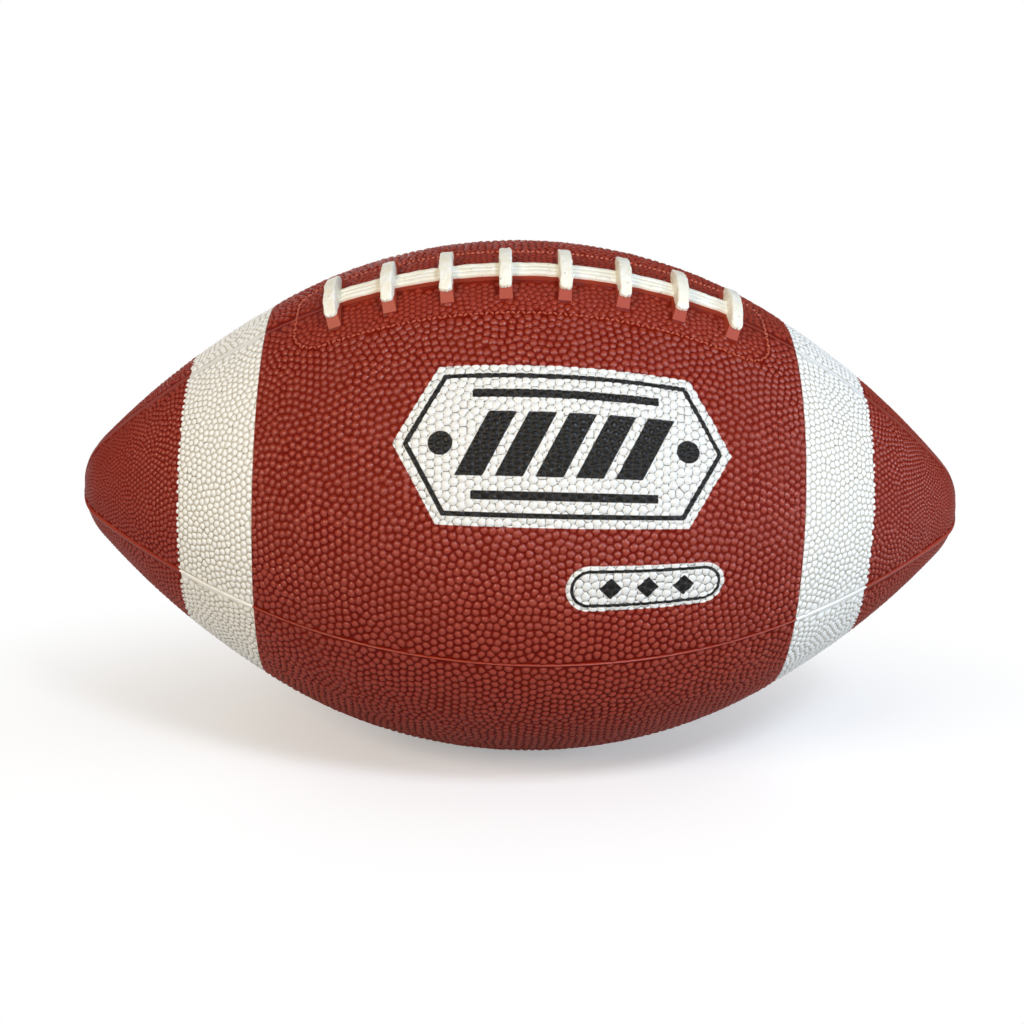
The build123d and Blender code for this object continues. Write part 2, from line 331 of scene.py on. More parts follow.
def sow_rows(inside):
    """Places in rows round the ball, each a little off its row, on one side of the stitched outline."""
    runs, angles = [], []
    at = SOW_END - HALF_RUN
    while at < HALF_RUN - SOW_END:
        pitch = float(pitch_at(at, inside))
        count = max(3, round(TURN * float(meridian(at)[1]) / pitch))
        run = at + rng.normal(0, SOW_SCATTER * pitch, count)
        angle = (np.arange(count) + rng.random() + rng.normal(0, SOW_SCATTER, count)) * TURN / count
        run = np.clip(run, PEBBLE_END - HALF_RUN, HALF_RUN - PEBBLE_END)
        fits = (loop_distance(run, angle) < 0) == inside
        runs.append(run[fits])
        angles.append(angle[fits] % TURN)
        at += SOW_ROW * pitch
    return np.concatenate(runs), np.concatenate(angles)


def push_apart(run, angle, inside):
    """One round of pushing: each place moves away from those within its reach, along the cover."""
    near = neighbours(cell_table(run, angle), run, angle)
    point = place(run, angle, 0.0)
    away = point[:, None] - point[near]
    gap = np.linalg.norm(away, axis=2)
    reach = PUSH_REACH * pitch_at(run, inside)[:, None]
    push = np.where((near >= 0) & (gap > TINY), np.maximum(0, 1 - gap / reach), 0)
    move = (away * (push / np.maximum(gap, TINY))[..., None]).sum(1) * reach * PUSH_SHARE
    turn = meridian(run)[2]
    tilt = angle + LEAN
    inward = move[:, 1] * np.sin(tilt) - move[:, 2] * np.cos(tilt)
    along = move[:, 0] * np.cos(turn) + inward * np.sin(turn)
    around = -move[:, 1] * np.cos(tilt) - move[:, 2] * np.sin(tilt)
    run = np.clip(run + along, PEBBLE_END - HALF_RUN, HALF_RUN - PEBBLE_END)
    return run, (angle + around / np.maximum(meridian(run)[1], PUSH_LEAST_R)) % TURN


def sow_pebbles():
    """Places of the pebbles: rows round the ball, pushed apart until they lie in patches of hexagons."""
    sown = [sow_rows(inside) for inside in (False, True)]
    run, angle = (np.concatenate(part) for part in zip(*sown))
    keep = bare_distance(run, angle)[1] > SOW_MARGINS[0]
    run, angle = run[keep], angle[keep]
    inside = loop_distance(run, angle) < 0
    for _ in range(PUSH_ROUNDS):
        run, angle = push_apart(run, angle, inside)
    keep = bare_distance(run, angle)[1] > SOW_MARGINS[1]
    return run[keep], angle[keep]


# Each pebble is an ellipse of uneven size, turned and stretched by chance
pebble_run, pebble_angle = sow_pebbles()
pebble_point = place(pebble_run, pebble_angle, 0.0)
pebble_table = cell_table(pebble_run, pebble_angle)
pebble_size = np.clip(rng.normal(1.0, PEBBLE_UNEVEN, len(pebble_run)), *PEBBLE_SIZES)
pebble_turn = rng.uniform(0, math.pi, len(pebble_run))
pebble_stretch = rng.uniform(*PEBBLE_STRETCH, len(pebble_run))


def grain(run, angle):
    """(distance to the nearest pebble's middle, as an ellipse, distance to its border, its size)."""
    near = neighbours(pebble_table, run, angle)
    point = place(run, angle, 0.0)
    gap = ((pebble_point[near] - point[:, None]) ** 2).sum(2)
    gap[near < 0] = FAR
    own = near[np.arange(len(run)), gap.argmin(1)]
    own_gap = gap.min(1)
    apart = np.sqrt(((pebble_point[near] - pebble_point[own][:, None]) ** 2).sum(2))
    border = (gap - own_gap[:, None]) / np.maximum(2 * apart, TINY)
    border[(near < 0) | (near == own[:, None])] = FAR
    along = run - pebble_run[own]
    across = wrap(angle - pebble_angle[own]) * meridian(run)[1]
    cos, sin, stretch = np.cos(pebble_turn[own]), np.sin(pebble_turn[own]), pebble_stretch[own]
    middle = np.hypot((along * cos + across * sin) * stretch, (across * cos - along * sin) / stretch)
    return middle, border.min(1), pebble_size[own]


def patch_place(run, angle, at):
    """Distances along and across the ball from the middle of a patch."""
    return run - at[0], (angle - at[1]) * GIRTH_R


def patch_distance(run, angle):
    """Signed distances, positive inside, of the two printed patches on the front panel and of their ink."""
    u, v = patch_place(run, angle, HEXAGON_AT)
    ends = (np.abs(u) + HEXAGON_SLOPE * np.abs(v) - HEXAGON_HALF[0]) / math.hypot(1, HEXAGON_SLOPE)
    hexagon = np.maximum(np.abs(v) - HEXAGON_HALF[1], ends)
    ink = [np.abs(hexagon + HEXAGON_LINE[0]) - HEXAGON_LINE[1]]
    for k in range(BAR_COUNT):
        middle = (k - (BAR_COUNT - 1) / 2) * BAR_PITCH
        bar = np.abs(u + BAR_SLANT * v - middle) / math.hypot(1, BAR_SLANT) - BAR_HALF[0]
        ink.append(np.maximum(bar, np.abs(v) - BAR_HALF[1]))
    ink.append(np.maximum(np.abs(np.abs(v) - RULE_AT) - RULE_HALF[1], np.abs(u) - RULE_HALF[0]))
    ink.append(np.hypot(np.abs(u) - DOT_AT, v) - DOT_R)
    u, v = patch_place(run, angle, PILL_AT)
    pill = np.hypot(np.maximum(np.abs(u) - PILL_HALF[0], 0), v) - PILL_HALF[1]
    ink.append(np.abs(pill + PILL_LINE[0]) - PILL_LINE[1])
    ink.append(np.abs(np.abs(np.abs(u) - DIAMOND_GAP) - DIAMOND_GAP) + np.abs(v) - DIAMOND_R)
    return -np.minimum(hexagon, pill), -np.minimum.reduce(ink)


def cover_height(run, angle):
    """(height of the cover, facts for its paint).

    A pebble is a dome (1 - q^2.2)^0.7, with q from its middle to its border, and where it is printed on, a
    flat top with a rounded edge. It stands on a valley that rises along the lanes and to the lacing's foot.
    """
    middle, border, size = grain(run, angle)
    patch, ink = patch_distance(run, angle)
    foot, bare = bare_distance(run, angle)
    x, r, _ = meridian(run)
    x = np.abs(x)
    border = np.minimum(border, np.maximum(bare, 0))
    inside = loop_distance(run, angle) < 0
    half = 0.5 * pitch_at(run, inside)
    ring = 0.5 * (1 - border / half) + 0.5 * middle / (DOME_ROUND * half)
    dome = np.maximum(0, 1 - np.clip(ring / (DOME_REACH * size), 0, 1) ** DOME_POWERS[0]) ** DOME_POWERS[1]
    tile = 1 - (1 - np.clip(border / (TILE_EDGE * half), 0, 1)) ** 2
    band = np.minimum(x - BAND[0], BAND[1] - x)
    on_patch, on_band = (smooth(-FLAT_SOFT, FLAT_SOFT, edge) for edge in (patch, band))
    flat = np.maximum(on_patch, BAND_FLAT * on_band)
    rise = dome * (1 - flat) + (TILE_RISE[0] * dome + TILE_RISE[1] * tile) * flat
    lower = 1 - TIP_LOWER[0] * smooth(*TIP_LOWER[1:], x)
    tall = DOME * half / (PITCH / 2) * size * lower * np.where(inside, LACED_LOWER, 1.0)
    on_lane = smooth(*LANE_BLEND, bare)
    level = VALLEY + (LANE_LEVEL + LANE_RISE * smooth(*LANE_RISES, x)) * on_lane
    level = level + (FOOT_LEVEL - level) * smooth(*FOOT_BLEND, foot)
    port = np.hypot(run, wrap(angle - VALVE_ANGLE) * r)
    level = np.where(port < PORT_R, PORT_LEVEL, level + PORT_RIM[0] * smooth(*PORT_RIM[1:], port))
    # shown is the share by which a place is painted lit, from the painted shade of a pebble's foot at 0 to
    # the painted sheen of its top at 1; inside the stitches and on the lanes near the tips the painted shade
    # is lighter
    shown = np.where(inside, LACED_RISE + (1 - LACED_RISE) * rise, rise)
    shown = np.maximum(shown, LANE_RED * smooth(*LANE_REDDENS, x) * smooth(LANE_EDGE, -LANE_EDGE, bare))
    groove = np.where(bare < 0, LANE_GROOVE, border)
    paint = band + PAINT_CREEP * (rise - 0.5)
    return level + tall * rise, dict(zip(FACTS, (shown, groove, paint, patch, ink)))


def grid_corners(index):
    """Corners of the faces of grids of point numbers (..., rows, columns)."""
    corners = [index[..., :-1, :-1], index[..., 1:, :-1], index[..., 1:, 1:], index[..., :-1, 1:]]
    return np.stack(corners, -1).reshape(-1, 4)


def grid_mesh(name, points, material, facts=None, normals=None):
    """An object from grids of points (..., rows, columns, xyz) in mm, with an attribute for each fact."""
    corners = grid_corners(np.arange(points[..., 0].size).reshape(points.shape[:-1]))
    mesh = bpy.data.meshes.new(name)
    mesh.vertices.add(points[..., 0].size)
    mesh.vertices.foreach_set("co", (points / MM_PER_M).astype(np.float32).ravel())
    mesh.loops.add(corners.size)
    mesh.loops.foreach_set("vertex_index", corners.astype(np.int32).ravel())
    mesh.polygons.add(len(corners))
    mesh.polygons.foreach_set("loop_start", np.arange(0, corners.size, 4, dtype=np.int32))
    mesh.polygons.foreach_set("use_smooth", np.ones(len(corners), bool))
    for key, value in (facts or {}).items():
        attribute = mesh.attributes.new(key, "FLOAT", "POINT")
        attribute.data.foreach_set("value", value.astype(np.float32).ravel())
    mesh.update(calc_edges=True)
    mesh.validate()
    if normals is not None:
        mesh.normals_split_custom_set_from_vertices(normals.reshape(-1, 3))
    mesh.materials.append(material)
    piece = bpy.data.objects.new(name, mesh)
    bpy.context.scene.collection.objects.link(piece)
    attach(piece, "root")
    return piece


def linear(code):
    """Linear colour of an sRGB hex code."""
    parts = [int(code[i : i + 2], 16) / 255 for i in (0, 2, 4)]
    return [c / 12.92 if c <= 0.04045 else ((c + 0.055) / 1.055) ** 2.4 for c in parts] + [1.0]


def new_material(name):
    """A material with an empty node tree, and the tree."""
    material = bpy.data.materials.new(name)
    material.use_nodes = True
    material.node_tree.nodes.clear()
    return material, material.node_tree


def add_node(tree, kind, inputs=(), out=0, **settings):
    """Adds a node with its settings, its inputs set to values or linked to sockets, and gives an output."""
    node = tree.nodes.new(kind)
    for key, value in settings.items():
        setattr(node, key, value)
    for key, value in dict(inputs).items():
        if isinstance(value, bpy.types.NodeSocket):
            tree.links.new(value, node.inputs[key])
        else:
            node.inputs[key].default_value = value
    return node.outputs[out] if node.outputs else None


# A range node takes a value, the two ends of its range and the two ends that they are turned into
SOFT_STEP = {"interpolation_type": "SMOOTHSTEP"}
# A mix node for colours takes its share at 0 and the colours at 6 and 7, and gives the mix at 2
COLOURS = {"data_type": "RGBA"}


def cover_rubber():
    """Natural rubber, moulded with a pebble grain, with enamel on the bands and ink on the patches.

    The eye sees a satin skin: each pebble catches a small soft light, its top is a lighter red that holds a
    painted sheen, and its foot is a darker red that is painted shade, dull as well. The paint on the bands
    and the white of the patches are painted darker in the grooves, a painted shade, and the bands have
    specks of dirt there. Rubber and paint both have an IOR near the default of 1.5.
    """
    material, tree = new_material("moulded_rubber")
    point = add_node(tree, "ShaderNodeTexCoord", out="Object")
    # Sizes in millimetres: patches of colour as wide as a finger, specks of dirt, and the skin's fine bumps
    noises = {}
    for key, size, detail in (("blotch", 14.0, 3.0), ("dirt", 3.0, 1.0), ("skin", 0.7, 2.0)):
        pattern = {"Vector": point, "Scale": MM_PER_M / size, "Detail": detail}
        noises[key] = add_node(tree, "ShaderNodeTexNoise", pattern)
    facts = {key: add_node(tree, "ShaderNodeAttribute", out="Fac", attribute_name=key) for key in FACTS}
    # Shares: the fact or noise, its range, and what it is turned into
    shares = {
        key: add_node(tree, "ShaderNodeMapRange", dict(enumerate((value, *span))), **SOFT_STEP)
        for key, value, span in (
            # The pebble share paints shade in the valleys and sheen on the pebbles' tops
            ("pebble", facts["rise"], (0.05, 0.85, 0.0, 1.0)),
            ("blotch", noises["blotch"], (0.35, 0.7, 0.0, 0.4)),
            # The cream and white shares paint the paint darker in the grooves between pebbles, as painted
            # shade
            ("cream", facts["border"], (0.02, 0.4, 0.0, 1.0)),
            ("speck", noises["dirt"], (0.62, 0.67, 0.0, 1.0)),
            ("groove", facts["border"], (0.16, 0.04, 0.0, 1.0)),
            ("white", facts["border"], (0.03, 0.26, 0.0, 1.0)),
            ("black", facts["border"], (0.03, 0.4, 0.0, 1.0)),
            ("band", facts["paint"], (-0.12, 0.12, 0.0, 1.0)),
            ("ink", facts["ink"], (-0.12, 0.12, 0.0, 1.0)),
            ("patch", facts["patch"], (-0.12, 0.12, 0.0, 1.0)),
            ("rough", noises["blotch"], (0.3, 0.7, 0.31, 0.42)),
            ("shine", facts["rise"], (0.1, 0.7, 0.08, 0.66)),
            ("ink_shine", facts["ink"], (-0.1, 0.1, 1.0, 0.4)),
        )
    }
    for key, one, other in (("dirt", "speck", "groove"), ("gloss", "shine", "ink_shine")):
        factors = {0: shares[one], 1: shares[other]}
        shares[key] = add_node(tree, "ShaderNodeMath", factors, operation="MULTIPLY")
    colours = {
        # The darker red at a pebble's foot is painted shade, and the lighter red on its top is a painted
        # sheen
        "red_foot_painted_shade": linear("6E1105"),
        "red_top_painted_sheen": linear("9B2E14"),
        "red_blotch": linear("84230D"),
        # The darker cream here and the darker white below are painted shade in the grooves between pebbles
        "cream_groove_painted_shade": linear("B4AC98"),
        "cream_top": linear("F5F5F1"),
        "cream_dirt": linear("5E5546"),
        "white_groove_painted_shade": linear("77736B"),
        "white_top": linear("E7E7E3"),
        "black_groove": linear("3A3835"),
        "black_top": linear("121110"),
    }
    # Layers of colour, each mixed by its share from the one under it to the one over it
    for key, share, under, over in (
        # Painted shade in the valleys and painted sheen on the tops, by the pebble share
        ("red", "pebble", "red_foot_painted_shade", "red_top_painted_sheen"),
        ("red", "blotch", "red", "red_blotch"),
        ("cream", "cream", "cream_groove_painted_shade", "cream_top"),
        ("cream", "dirt", "cream", "cream_dirt"),
        ("white", "white", "white_groove_painted_shade", "white_top"),
        ("black", "black", "black_groove", "black_top"),
        ("cover", "band", "red", "cream"),
        ("print", "ink", "white", "black"),
        ("cover", "patch", "cover", "print"),
    ):
        layers = {0: shares[share], 6: colours[under], 7: colours[over]}
        colours[key] = add_node(tree, "ShaderNodeMix", layers, out=2, **COLOURS)
    bumps = {"Height": noises["skin"], "Distance": 0.04 / MM_PER_M, "Strength": 0.5}
    skin = {
        "Base Color": colours["cover"],
        "Roughness": shares["rough"],
        "Specular IOR Level": shares["gloss"],
        "Normal": add_node(tree, "ShaderNodeBump", bumps),
    }
    body = add_node(tree, "ShaderNodeBsdfPrincipled", skin)
    add_node(tree, "ShaderNodeOutputMaterial", {"Surface": body})
    return material


def lace_paint():
    """Off-white enamel over moulded rubber laces.

    The eye sees a dull, warm white with wrinkles, and a few dark specks where the paint is pitted.
    """
    material, tree = new_material("painted_rubber")
    point = add_node(tree, "ShaderNodeTexCoord", out="Object")
    # Sizes in millimetres: pits, patches of thinner paint, and wrinkles
    noises = {}
    for key, size, detail in (("pit", 1.1, 1.0), ("thin", 3.0, 3.0), ("wrinkle", 1.6, 3.0)):
        pattern = {"Vector": point, "Scale": MM_PER_M / size, "Detail": detail}
        noises[key] = add_node(tree, "ShaderNodeTexNoise", pattern)
    shares = {
        key: add_node(tree, "ShaderNodeMapRange", dict(enumerate((noises[key], *span))), **SOFT_STEP)
        for key, span in (("pit", (0.71, 0.76, 0.0, 0.6)), ("thin", (0.35, 0.7, 0.0, 1.0)))
    }
    colour = linear("F0ECDA")
    for key, code in (("thin", "F6F5EC"), ("pit", "8C8374")):
        layers = {0: shares[key], 6: colour, 7: linear(code)}
        colour = add_node(tree, "ShaderNodeMix", layers, out=2, **COLOURS)
    bumps = {"Height": noises["wrinkle"], "Distance": 0.25 / MM_PER_M, "Strength": 0.8}
    surface = {"Base Color": colour, "Roughness": 0.5, "Normal": add_node(tree, "ShaderNodeBump", bumps)}
    body = add_node(tree, "ShaderNodeBsdfPrincipled", surface)
    add_node(tree, "ShaderNodeOutputMaterial", {"Surface": body})
    return material


def plain_material(name, code, roughness, grain_mm=0.0):
    """One colour of rubber or thread, with a faint uneven surface where a grain size is given."""
    material, tree = new_material(name)
    surface = {"Base Color": linear(code), "Roughness": roughness}
    if grain_mm:
        point = add_node(tree, "ShaderNodeTexCoord", out="Object")
        pattern = {"Vector": point, "Scale": MM_PER_M / grain_mm, "Detail": 2.0}
        noise = add_node(tree, "ShaderNodeTexNoise", pattern)
        bumps = {"Height": noise, "Distance": 0.06 / MM_PER_M, "Strength": 0.6}
        surface["Normal"] = add_node(tree, "ShaderNodeBump", bumps)
    body = add_node(tree, "ShaderNodeBsdfPrincipled", surface)
    add_node(tree, "ShaderNodeOutputMaterial", {"Surface": body})
    return material


COVER = cover_rubber()
LACE = lace_paint()
# Moulded rubber without pebbles: an even red, painted paler than the cover's as a painted sheen, with a soft
# sheen of its own
BED = plain_material("smooth_moulded_rubber", "A8432E", 0.45, 0.8)
# The same rubber in the moulded stitches, painted pale as a painted highlight, and shiny
STITCHES = plain_material("moulded_rubber_painted_highlight", "B8563E", 0.35, 0.6)
# Moulded valve rubber, its softer core and dipped butyl: dark and dull
VALVE = plain_material("valve_rubber", "2A2724", 0.5)
CORE = plain_material("soft_valve_rubber", "4A423C", 0.55)
BLADDER = plain_material("butyl_rubber", "1B1B1B", 0.6)
# Glued nylon thread: pale and quite dull
THREAD = plain_material("nylon_thread", "D3CBB9", 0.8)


def piece_spans():
    """Where the pieces of a panel start and stop along the ball."""
    ends = [TIP_GAP - HALF_RUN, *(-e for e in PIECE_ENDS[:0:-1]), *PIECE_ENDS, HALF_RUN - TIP_GAP]
    return list(zip(ends, ends[1:]))


def cover_piece(quarter, start, stop):
    """(points, normals, facts) of a piece of a panel, on a grid of runs and angles at the cover's height."""
    nearest = 0.0 if start * stop <= 0 else min(abs(start), abs(stop))
    step = STEPS[PIECE_ENDS.index(nearest)]
    columns = int(QUARTER * float(meridian(nearest)[1]) / step) + 2
    rows = round((stop - start) / step)
    # A spare row at each end gives the normals there, and is cut off again
    runs = start + (stop - start) / rows * np.arange(-1, rows + 2)
    angles = (quarter + np.linspace(0, 1, columns)) * QUARTER
    run, angle = (grid.ravel() for grid in np.meshgrid(runs, angles, indexing="ij"))
    run = np.clip(run, TIP_GAP - HALF_RUN, HALF_RUN - TIP_GAP)
    batches = np.array_split(np.arange(len(run)), len(run) // BATCH + 1)
    heights, facts = zip(*(cover_height(run[batch], angle[batch]) for batch in batches))
    shape = (len(runs), columns)
    points = place(run, angle, np.concatenate(heights)).reshape(*shape, 3)
    normals = np.cross(np.gradient(points, axis=1), np.gradient(points, axis=0))
    normals /= np.maximum(np.linalg.norm(normals, axis=2, keepdims=True), TINY)
    facts = {key: np.concatenate([fact[key] for fact in facts]).reshape(shape) for key in FACTS}
    inner = slice(1, -1), slice(None, None, -1)
    return points[inner], normals[inner], {key: fact[inner] for key, fact in facts.items()}


def make_cover():
    """The four panels, each in pieces along the ball, with pebbles, lanes and paint."""
    for quarter, panel in enumerate(PANELS):
        for number, span in enumerate(piece_spans(), start=1):
            points, normals, facts = cover_piece(quarter, *span)
            piece = grid_mesh(f"{panel}_grain_{number}", points, COVER, facts, normals)
            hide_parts(panel)


def make_seam_ridges():
    """Flash lines along the seams: half rounds, h = top sqrt(1 - q^2), wider and lower at the tips."""
    last = HALF_RUN - RIDGE_END
    for quarter, (name, (half, top)) in enumerate(zip(SEAMS, RIDGES)):
        spans = ((-last, last),) if quarter else ((-last, -LEDGE_HALF[0]), (LEDGE_HALF[0], last))
        for number, span in enumerate(spans, start=1):
            runs, sides = np.linspace(*span, RIDGE_GRID[0]), np.linspace(1, -1, RIDGE_GRID[1])
            run, q = np.meshgrid(runs, sides, indexing="ij")
            x, r, _ = meridian(run)
            x = np.abs(x)
            near_tip = smooth(*LANE_RISES, x)
            wide = half * (1 + near_tip * (quarter > 0))
            angle = quarter * QUARTER + q * wide / np.maximum(r, RIDGE_LEAST_R)
            crest = top * smooth(*RIDGE_FADE, HALF_RUN - np.abs(run)) * half_round(q)
            points = place(run, angle, VALLEY + LANE_RISE * near_tip + crest)
            painted = np.where((x > BAND[0]) & (x < BAND[1]), 1.0, -1.0)
            # A ridge takes the colour of a pebble's top: the lighter red of painted sheen, with no painted
            # shade
            one = np.ones_like(run)
            facts = dict(zip(FACTS, (one, one, painted, -FAR * one, -FAR * one)))
            piece = grid_mesh(f"seam_ridge_{name}_{number}", points, COVER, facts)


def loop_path(pitch):
    """(along, across, heading) at each pitch round the stitched outline, a box with round corners."""
    half_u, half_v = LOOP_HALF
    long, short = half_u - LOOP_CORNER, half_v - LOOP_CORNER
    bend = LOOP_CORNER * QUARTER
    ends = np.concatenate([[0], np.cumsum((2 * long, bend, 2 * short, bend) * 2)])
    at = np.arange(0, ends[-1], pitch)
    u, v, heading = (np.zeros_like(at) for _ in range(3))
    # Each side from its start, and each corner from its middle, with the heading there in quarter turns
    starts = (
        (-long, half_v, 0),
        (long, short, 0),
        (half_u, short, -1),
        (long, -short, -1),
        (long, -half_v, 2),
        (-long, -short, 2),
        (-half_u, -short, 1),
        (-long, short, 1),
    )
    for k, (start_u, start_v, quarters) in enumerate(starts):
        on = (at >= ends[k]) & (at < ends[k + 1])
        gone = at[on] - ends[k]
        turn = quarters * QUARTER
        if k % 2:
            turn = turn - gone / LOOP_CORNER
            u[on], v[on] = start_u - LOOP_CORNER * np.sin(turn), start_v + LOOP_CORNER * np.cos(turn)
        else:
            u[on], v[on] = start_u + gone * math.cos(turn), start_v + gone * math.sin(turn)
        heading[on] = turn
    return u, v, heading


def make_stitches():
    """Stitches round the lacing: half ellipsoids (a p, b q s, c s sqrt(1 - q^2)), with s = sqrt(1 - p^2)."""
    u, v, heading = loop_path(STITCH_PITCH)
    to_and_fro = np.where(np.arange(len(u)) % 2, STITCH_TURN, -STITCH_TURN)
    heading = heading + to_and_fro + rng.normal(0, STITCH_SCATTER, len(u))
    p, q = np.meshgrid(np.linspace(-1, 1, STITCH_GRID[0]), np.linspace(1, -1, STITCH_GRID[1]), indexing="ij")
    swell = half_round(p)
    own_u, own_v = STITCH_SIZE[0] * p, STITCH_SIZE[1] * q * swell
    height = VALLEY + STITCH_FOOT + STITCH_SIZE[2] * swell * half_round(q)
    cos, sin = np.cos(heading)[:, None, None], np.sin(heading)[:, None, None]
    run = u[:, None, None] + own_u * cos - own_v * sin
    across = v[:, None, None] + own_u * sin + own_v * cos
    points = place(run, across / meridian(run)[1], height)
    grid_mesh("stitch_outline", points, STITCHES)


def ripple(at, size, seed):
    """An uneven line between -1 and 1: the mean of three sines, about one size long, with chance phases."""
    phases = np.random.default_rng(seed).uniform(0, TURN, len(RIPPLE_LENGTHS))
    waves = [np.sin(TURN * at / (size * k) + phase) for k, phase in zip(RIPPLE_LENGTHS, phases)]
    return sum(waves) / len(waves)


def make_cross_laces():
    """Cross laces: h = end + (middle - end)(1 - (v / half)^2), with round shoulders and frayed ends."""
    half_u, half_v = CROSS_HALF
    turn = np.linspace(0, QUARTER, SHOULDER_POINTS)
    inset, drop = SHOULDER * (1 - np.cos(turn)), SHOULDER * (1 - np.sin(turn))
    # Along a lace: an end wall, a shoulder, the back, a shoulder and an end wall, with how far each is sunk
    back = np.linspace(SHOULDER - half_v, half_v - SHOULDER, CROSS_GRID[0])[1:-1]
    line = np.concatenate([[-half_v], inset - half_v, back, half_v - inset[::-1], [half_v]])
    sunk = np.concatenate([[half_v], drop, 0 * back, drop[::-1], [half_v]])
    # Across it: a wall in three steps, a shoulder, the top, a shoulder and a wall
    top = np.linspace(SHOULDER - half_u, half_u - SHOULDER, CROSS_GRID[1])[1:-1]
    wall = np.full(len(WALL_STEPS), half_u)
    side = np.concatenate([-wall, inset - half_u, top, half_u - inset[::-1], wall])
    down = np.concatenate([0 * wall + SHOULDER, drop, 0 * top, drop[::-1], 0 * wall + SHOULDER])
    share = np.concatenate([WALL_STEPS, np.ones(len(top) + 2 * len(turn)), WALL_STEPS[::-1]])
    v, u = np.meshgrid(line, side, indexing="ij")
    crest = CROSS_TOP[1] + (CROSS_TOP[0] - CROSS_TOP[1]) * (1 - (v / half_v) ** 2) - sunk[:, None]
    foot = np.interp(np.abs(v), (LEDGE_HALF[1], half_v), (LEDGE_TOP, RISER_TOP)) - LACE_SINK
    cut = np.maximum(0, CROSS_CORNER - half_v + np.abs(v))
    narrow = CROSS_CORNER - np.sqrt(CROSS_CORNER**2 - cut**2)
    on_wall = np.abs(u) > half_u - TINY
    twist = np.where(on_wall, CROSS_TWIST[0] * np.sign(u) * np.sin(CROSS_TWIST[1] * v), 0)
    for number, at in enumerate(LACE_RUNS, start=1):
        depth, dent_v, dent_u = CROSS_DENTS
        dents = depth * ripple(v, dent_v, number) * ripple(u, dent_u, number + 10)
        height = foot + np.maximum(crest - down - foot, 0) * share + np.where(share == 1, dents, 0)
        swell = 1 + CROSS_SWELL[0] * ripple(v, CROSS_SWELL[1], number + 20)
        wander = CROSS_WANDER[0] * ripple(v, CROSS_WANDER[1], number + 30)
        fray = CROSS_FRAY[0] * ripple(u, CROSS_FRAY[1], number + 40)
        run = at + u * (1 - narrow / half_u) * swell + wander + twist
        across = v + fray * (np.abs(v) / half_v) ** FRAY_POWER
        points = place(run, across / float(meridian(at)[1]), height)
        piece = grid_mesh(f"cross_lace_{number}_worn", points, LACE)
        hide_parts(f"cross_lace_{number}")


def make_long_lace():
    """Long lace: strands side by side, h = top + rise sqrt(1 - q^2) on each, with edges that wander."""
    runs = np.linspace(-LONG_HALF[0], LONG_HALF[0], LONG_GRID[0])
    share = np.concatenate([[1], np.linspace(1, -1, LONG_GRID[1]), [-1]])
    run, share = np.meshgrid(runs, share, indexing="ij")
    q = 2 * ((share + 1) * STRAND_COUNT / 2 % 1.0) - 1
    height = LONG_TOP + STRAND_RISE * half_round(q) + LONG_DENTS[0] * ripple(run, LONG_DENTS[1], 60)
    height[:, [0, -1]] = LEDGE_TOP
    swell = 1 + LONG_SWELL[0] * ripple(run, LONG_SWELL[1], 61)
    across = LONG_HALF[1] * share * swell + LONG_WANDER[0] * ripple(run, LONG_WANDER[1], 62)
    piece = grid_mesh("long_lace_worn", place(run, across / meridian(run)[1], height), LACE)
    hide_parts("long_lace")


def dress_cad():
    """Materials for the CAD nodes that are shown as they are."""
    own = {"lace_bed": BED, "bladder": BLADDER, "winding": THREAD, "valve_boot": VALVE, "valve_plug": CORE}
    for name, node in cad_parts.items():
        material = own.get(name, LACE if "lace" in name else COVER)
        node.data.materials.clear()
        node.data.materials.append(material)


# Stage: each pair is for light that reaches the ball, then for what the camera sees
FLOOR_HALF = 6.0  # metres
FLOOR_GREYS = ((0.45, 0.45, 0.45, 1), (0.86, 0.86, 0.86, 1))
FLOOR_LIFT = (0.0, 0.33)  # own light near the ball
FLOOR_GLOW = (0.5, 1.0)  # own light away from it
SURROUND = (0.22, 1.0)
FLOOR_OVAL = (0.66, 1, 0)  # makes the fade longer along the ball
FLOOR_FADE = (0.05, 0.17)  # metres


def floor_paper():
    """White paper roll: flat white, and away from the ball it fades into the surround's plain white."""
    material, tree = new_material("white_paper")
    point = add_node(tree, "ShaderNodeTexCoord", out="Object")
    oval = add_node(tree, "ShaderNodeVectorMath", {0: point, 1: FLOOR_OVAL}, operation="MULTIPLY")
    spread = add_node(tree, "ShaderNodeVectorMath", {0: oval}, out="Value", operation="LENGTH")
    seen = add_node(tree, "ShaderNodeLightPath", out="Is Camera Ray")
    fade, lift, glow = (
        add_node(tree, "ShaderNodeMapRange", dict(enumerate(span)), **SOFT_STEP)
        for span in (
            (spread, *FLOOR_FADE, 0.0, 1.0),
            (seen, 0.0, 1.0, *FLOOR_LIFT),
            (seen, 0.0, 1.0, *FLOOR_GLOW),
        )
    )
    greys = {0: seen, 6: FLOOR_GREYS[0], 7: FLOOR_GREYS[1]}
    tint = add_node(tree, "ShaderNodeMix", greys, out=2, **COLOURS)
    paper = add_node(tree, "ShaderNodeBsdfDiffuse", {"Color": tint})
    lifted = add_node(tree, "ShaderNodeEmission", {"Strength": lift})
    near = add_node(tree, "ShaderNodeAddShader", {0: paper, 1: lifted})
    far = add_node(tree, "ShaderNodeEmission", {"Strength": glow})
    blend = add_node(tree, "ShaderNodeMixShader", {0: fade, 1: near, 2: far})
    add_node(tree, "ShaderNodeOutputMaterial", {"Surface": blend})
    return material


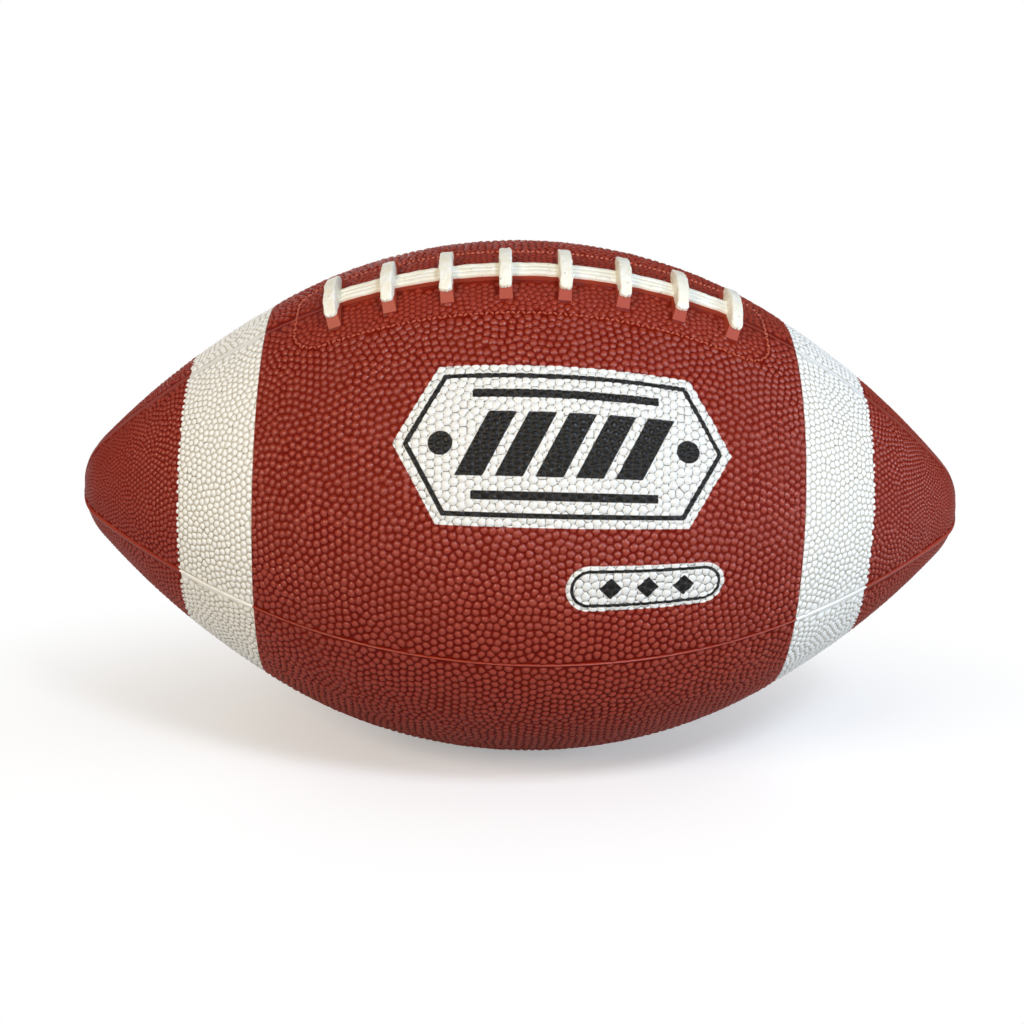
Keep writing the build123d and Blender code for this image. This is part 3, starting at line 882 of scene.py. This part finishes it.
def make_stage():
    """A white floor in a white surround."""
    mesh = bpy.data.meshes.new("floor")
    corners = [(u * FLOOR_HALF, v * FLOOR_HALF, 0) for u, v in ((-1, -1), (1, -1), (1, 1), (-1, 1))]
    mesh.from_pydata(corners, [], [(0, 1, 2, 3)])
    mesh.materials.append(floor_paper())
    floor = bpy.data.objects.new("floor", mesh)
    bpy.context.scene.collection.objects.link(floor)
    world = bpy.data.worlds.new("surround")
    world.use_nodes = True
    tree = world.node_tree
    tree.nodes.clear()
    is_camera = add_node(tree, "ShaderNodeLightPath", out="Is Camera Ray")
    white = (1, 1, 1, 1)
    lit, seen = (
        add_node(tree, "ShaderNodeBackground", {"Color": white, "Strength": share}) for share in SURROUND
    )
    blend = add_node(tree, "ShaderNodeMixShader", {0: is_camera, 1: lit, 2: seen})
    add_node(tree, "ShaderNodeOutputWorld", {"Surface": blend})
    bpy.context.scene.world = world


# Lamps: place and size in metres, power in watts and colour
LAMPS = {
    "key": ((0.45, -0.9, 1.1), 0.3, 8.4, "E2EFFF"),
    "side": ((1.05, -0.5, 0.35), 0.45, 6.1, "DCECFF"),
    "fill": ((-0.7, -0.95, 0.7), 0.5, 8.0, "FFEBCE"),
    "low": ((0.1, -1.3, 0.15), 0.6, 2.0, "FFFFFF"),
    "back": ((-0.2, 1.2, 0.22), 0.6, 3.0, "FFFFFF"),
}


def make_lamps():
    """Square soft boxes that face the ball."""
    for name, (spot, size, watts, code) in LAMPS.items():
        data = bpy.data.lights.new(name, "AREA")
        data.size = size
        data.energy = watts
        data.color = linear(code)[:3]
        lamp = bpy.data.objects.new(name, data)
        lamp.location = spot
        aim = Vector((0, 0, GIRTH_R / MM_PER_M)) - lamp.location
        lamp.rotation_euler = aim.to_track_quat("-Z", "Y").to_euler()
        bpy.context.scene.collection.objects.link(lamp)


# Camera: its place in metres, and the directions of its right side and its back
CAMERA_AT = (-0.02043, -0.55779, 0.22508)
CAMERA_RIGHT = (0.999, -0.028, 0.0337)
CAMERA_BACK = (-0.0355, -0.9684, 0.2467)
SENSOR = 36.0
LENS = 61.61
SHIFT = (-0.0112, -0.01635)
CLIP_START = 0.01


def make_camera():
    """A long lens in front of the ball and a little above it."""
    data = bpy.data.cameras.new("camera")
    data.sensor_width = SENSOR
    data.lens = LENS
    data.shift_x, data.shift_y = SHIFT
    data.clip_start = CLIP_START
    camera = bpy.data.objects.new("camera", data)
    back = Vector(CAMERA_BACK).normalized()
    up = back.cross(Vector(CAMERA_RIGHT).normalized()).normalized()
    turn = Matrix((up.cross(back), up, back)).transposed()
    camera.matrix_world = Matrix.Translation(CAMERA_AT) @ turn.to_4x4()
    bpy.context.scene.collection.objects.link(camera)
    bpy.context.scene.camera = camera


make_cover()
make_seam_ridges()
make_stitches()
make_cross_laces()
make_long_lace()
dress_cad()
make_stage()
make_lamps()
make_camera()
bpy.context.scene.view_settings.view_transform = "Standard"
